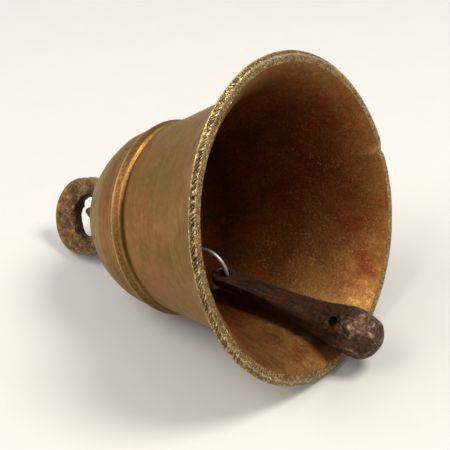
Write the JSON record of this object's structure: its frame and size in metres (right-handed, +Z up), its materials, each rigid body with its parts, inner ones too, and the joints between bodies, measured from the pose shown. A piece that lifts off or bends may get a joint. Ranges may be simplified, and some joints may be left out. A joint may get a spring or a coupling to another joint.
{
  "type": "sanctus bell",
  "caption": "Small cast bronze hand bell lying on its side, with a shoulder band, a thick crown loop and a forged iron clapper hung on a wire ring.",
  "frame": {"origin": "middle of the bounding box, on the surface that the bell lies on", "axes": "+X towards the mouth, +Z up, the bell's axis in the XZ plane and pitched about 20 degrees up towards the mouth"},
  "size_m": [0.159, 0.12, 0.1126],
  "materials": {
    "bell_bronze": "satin, aged",
    "loop_bronze": "rough, pitted, dark patina",
    "forged_iron": "rough, rusted brown",
    "steel_wire": "dull grey"
  },
  "bodies": {
    "bell": {"bell_body": "bell_bronze", "crown_loop": "loop_bronze", "clapper_staple": "forged_iron", "staple_collar": "forged_iron"},
    "link": {"hanger_link": "forged_iron"},
    "ring": {"clapper_ring": "steel_wire"},
    "clapper": {"clapper": "forged_iron"}
  },
  "joints": [
    {"name": "hanger_swing", "type": "hinge", "parent": "bell", "child": "link", "pos_m": [-0.02743, 0, 0.02878], "axis": [0, -1, 0], "range_deg": [0, 24]},
    {"name": "ring_swing", "type": "hinge", "parent": "link", "child": "ring", "pos_m": [-0.00407, 0, 0.01861], "axis": [0, -1, 0], "range_deg": [0, 8]},
    {"name": "clapper_swing", "type": "hinge", "parent": "ring", "child": "clapper", "pos_m": [0.002, 0, 0.01596], "axis": [0, -1, 0], "range_deg": [0, 38]}
  ]
}
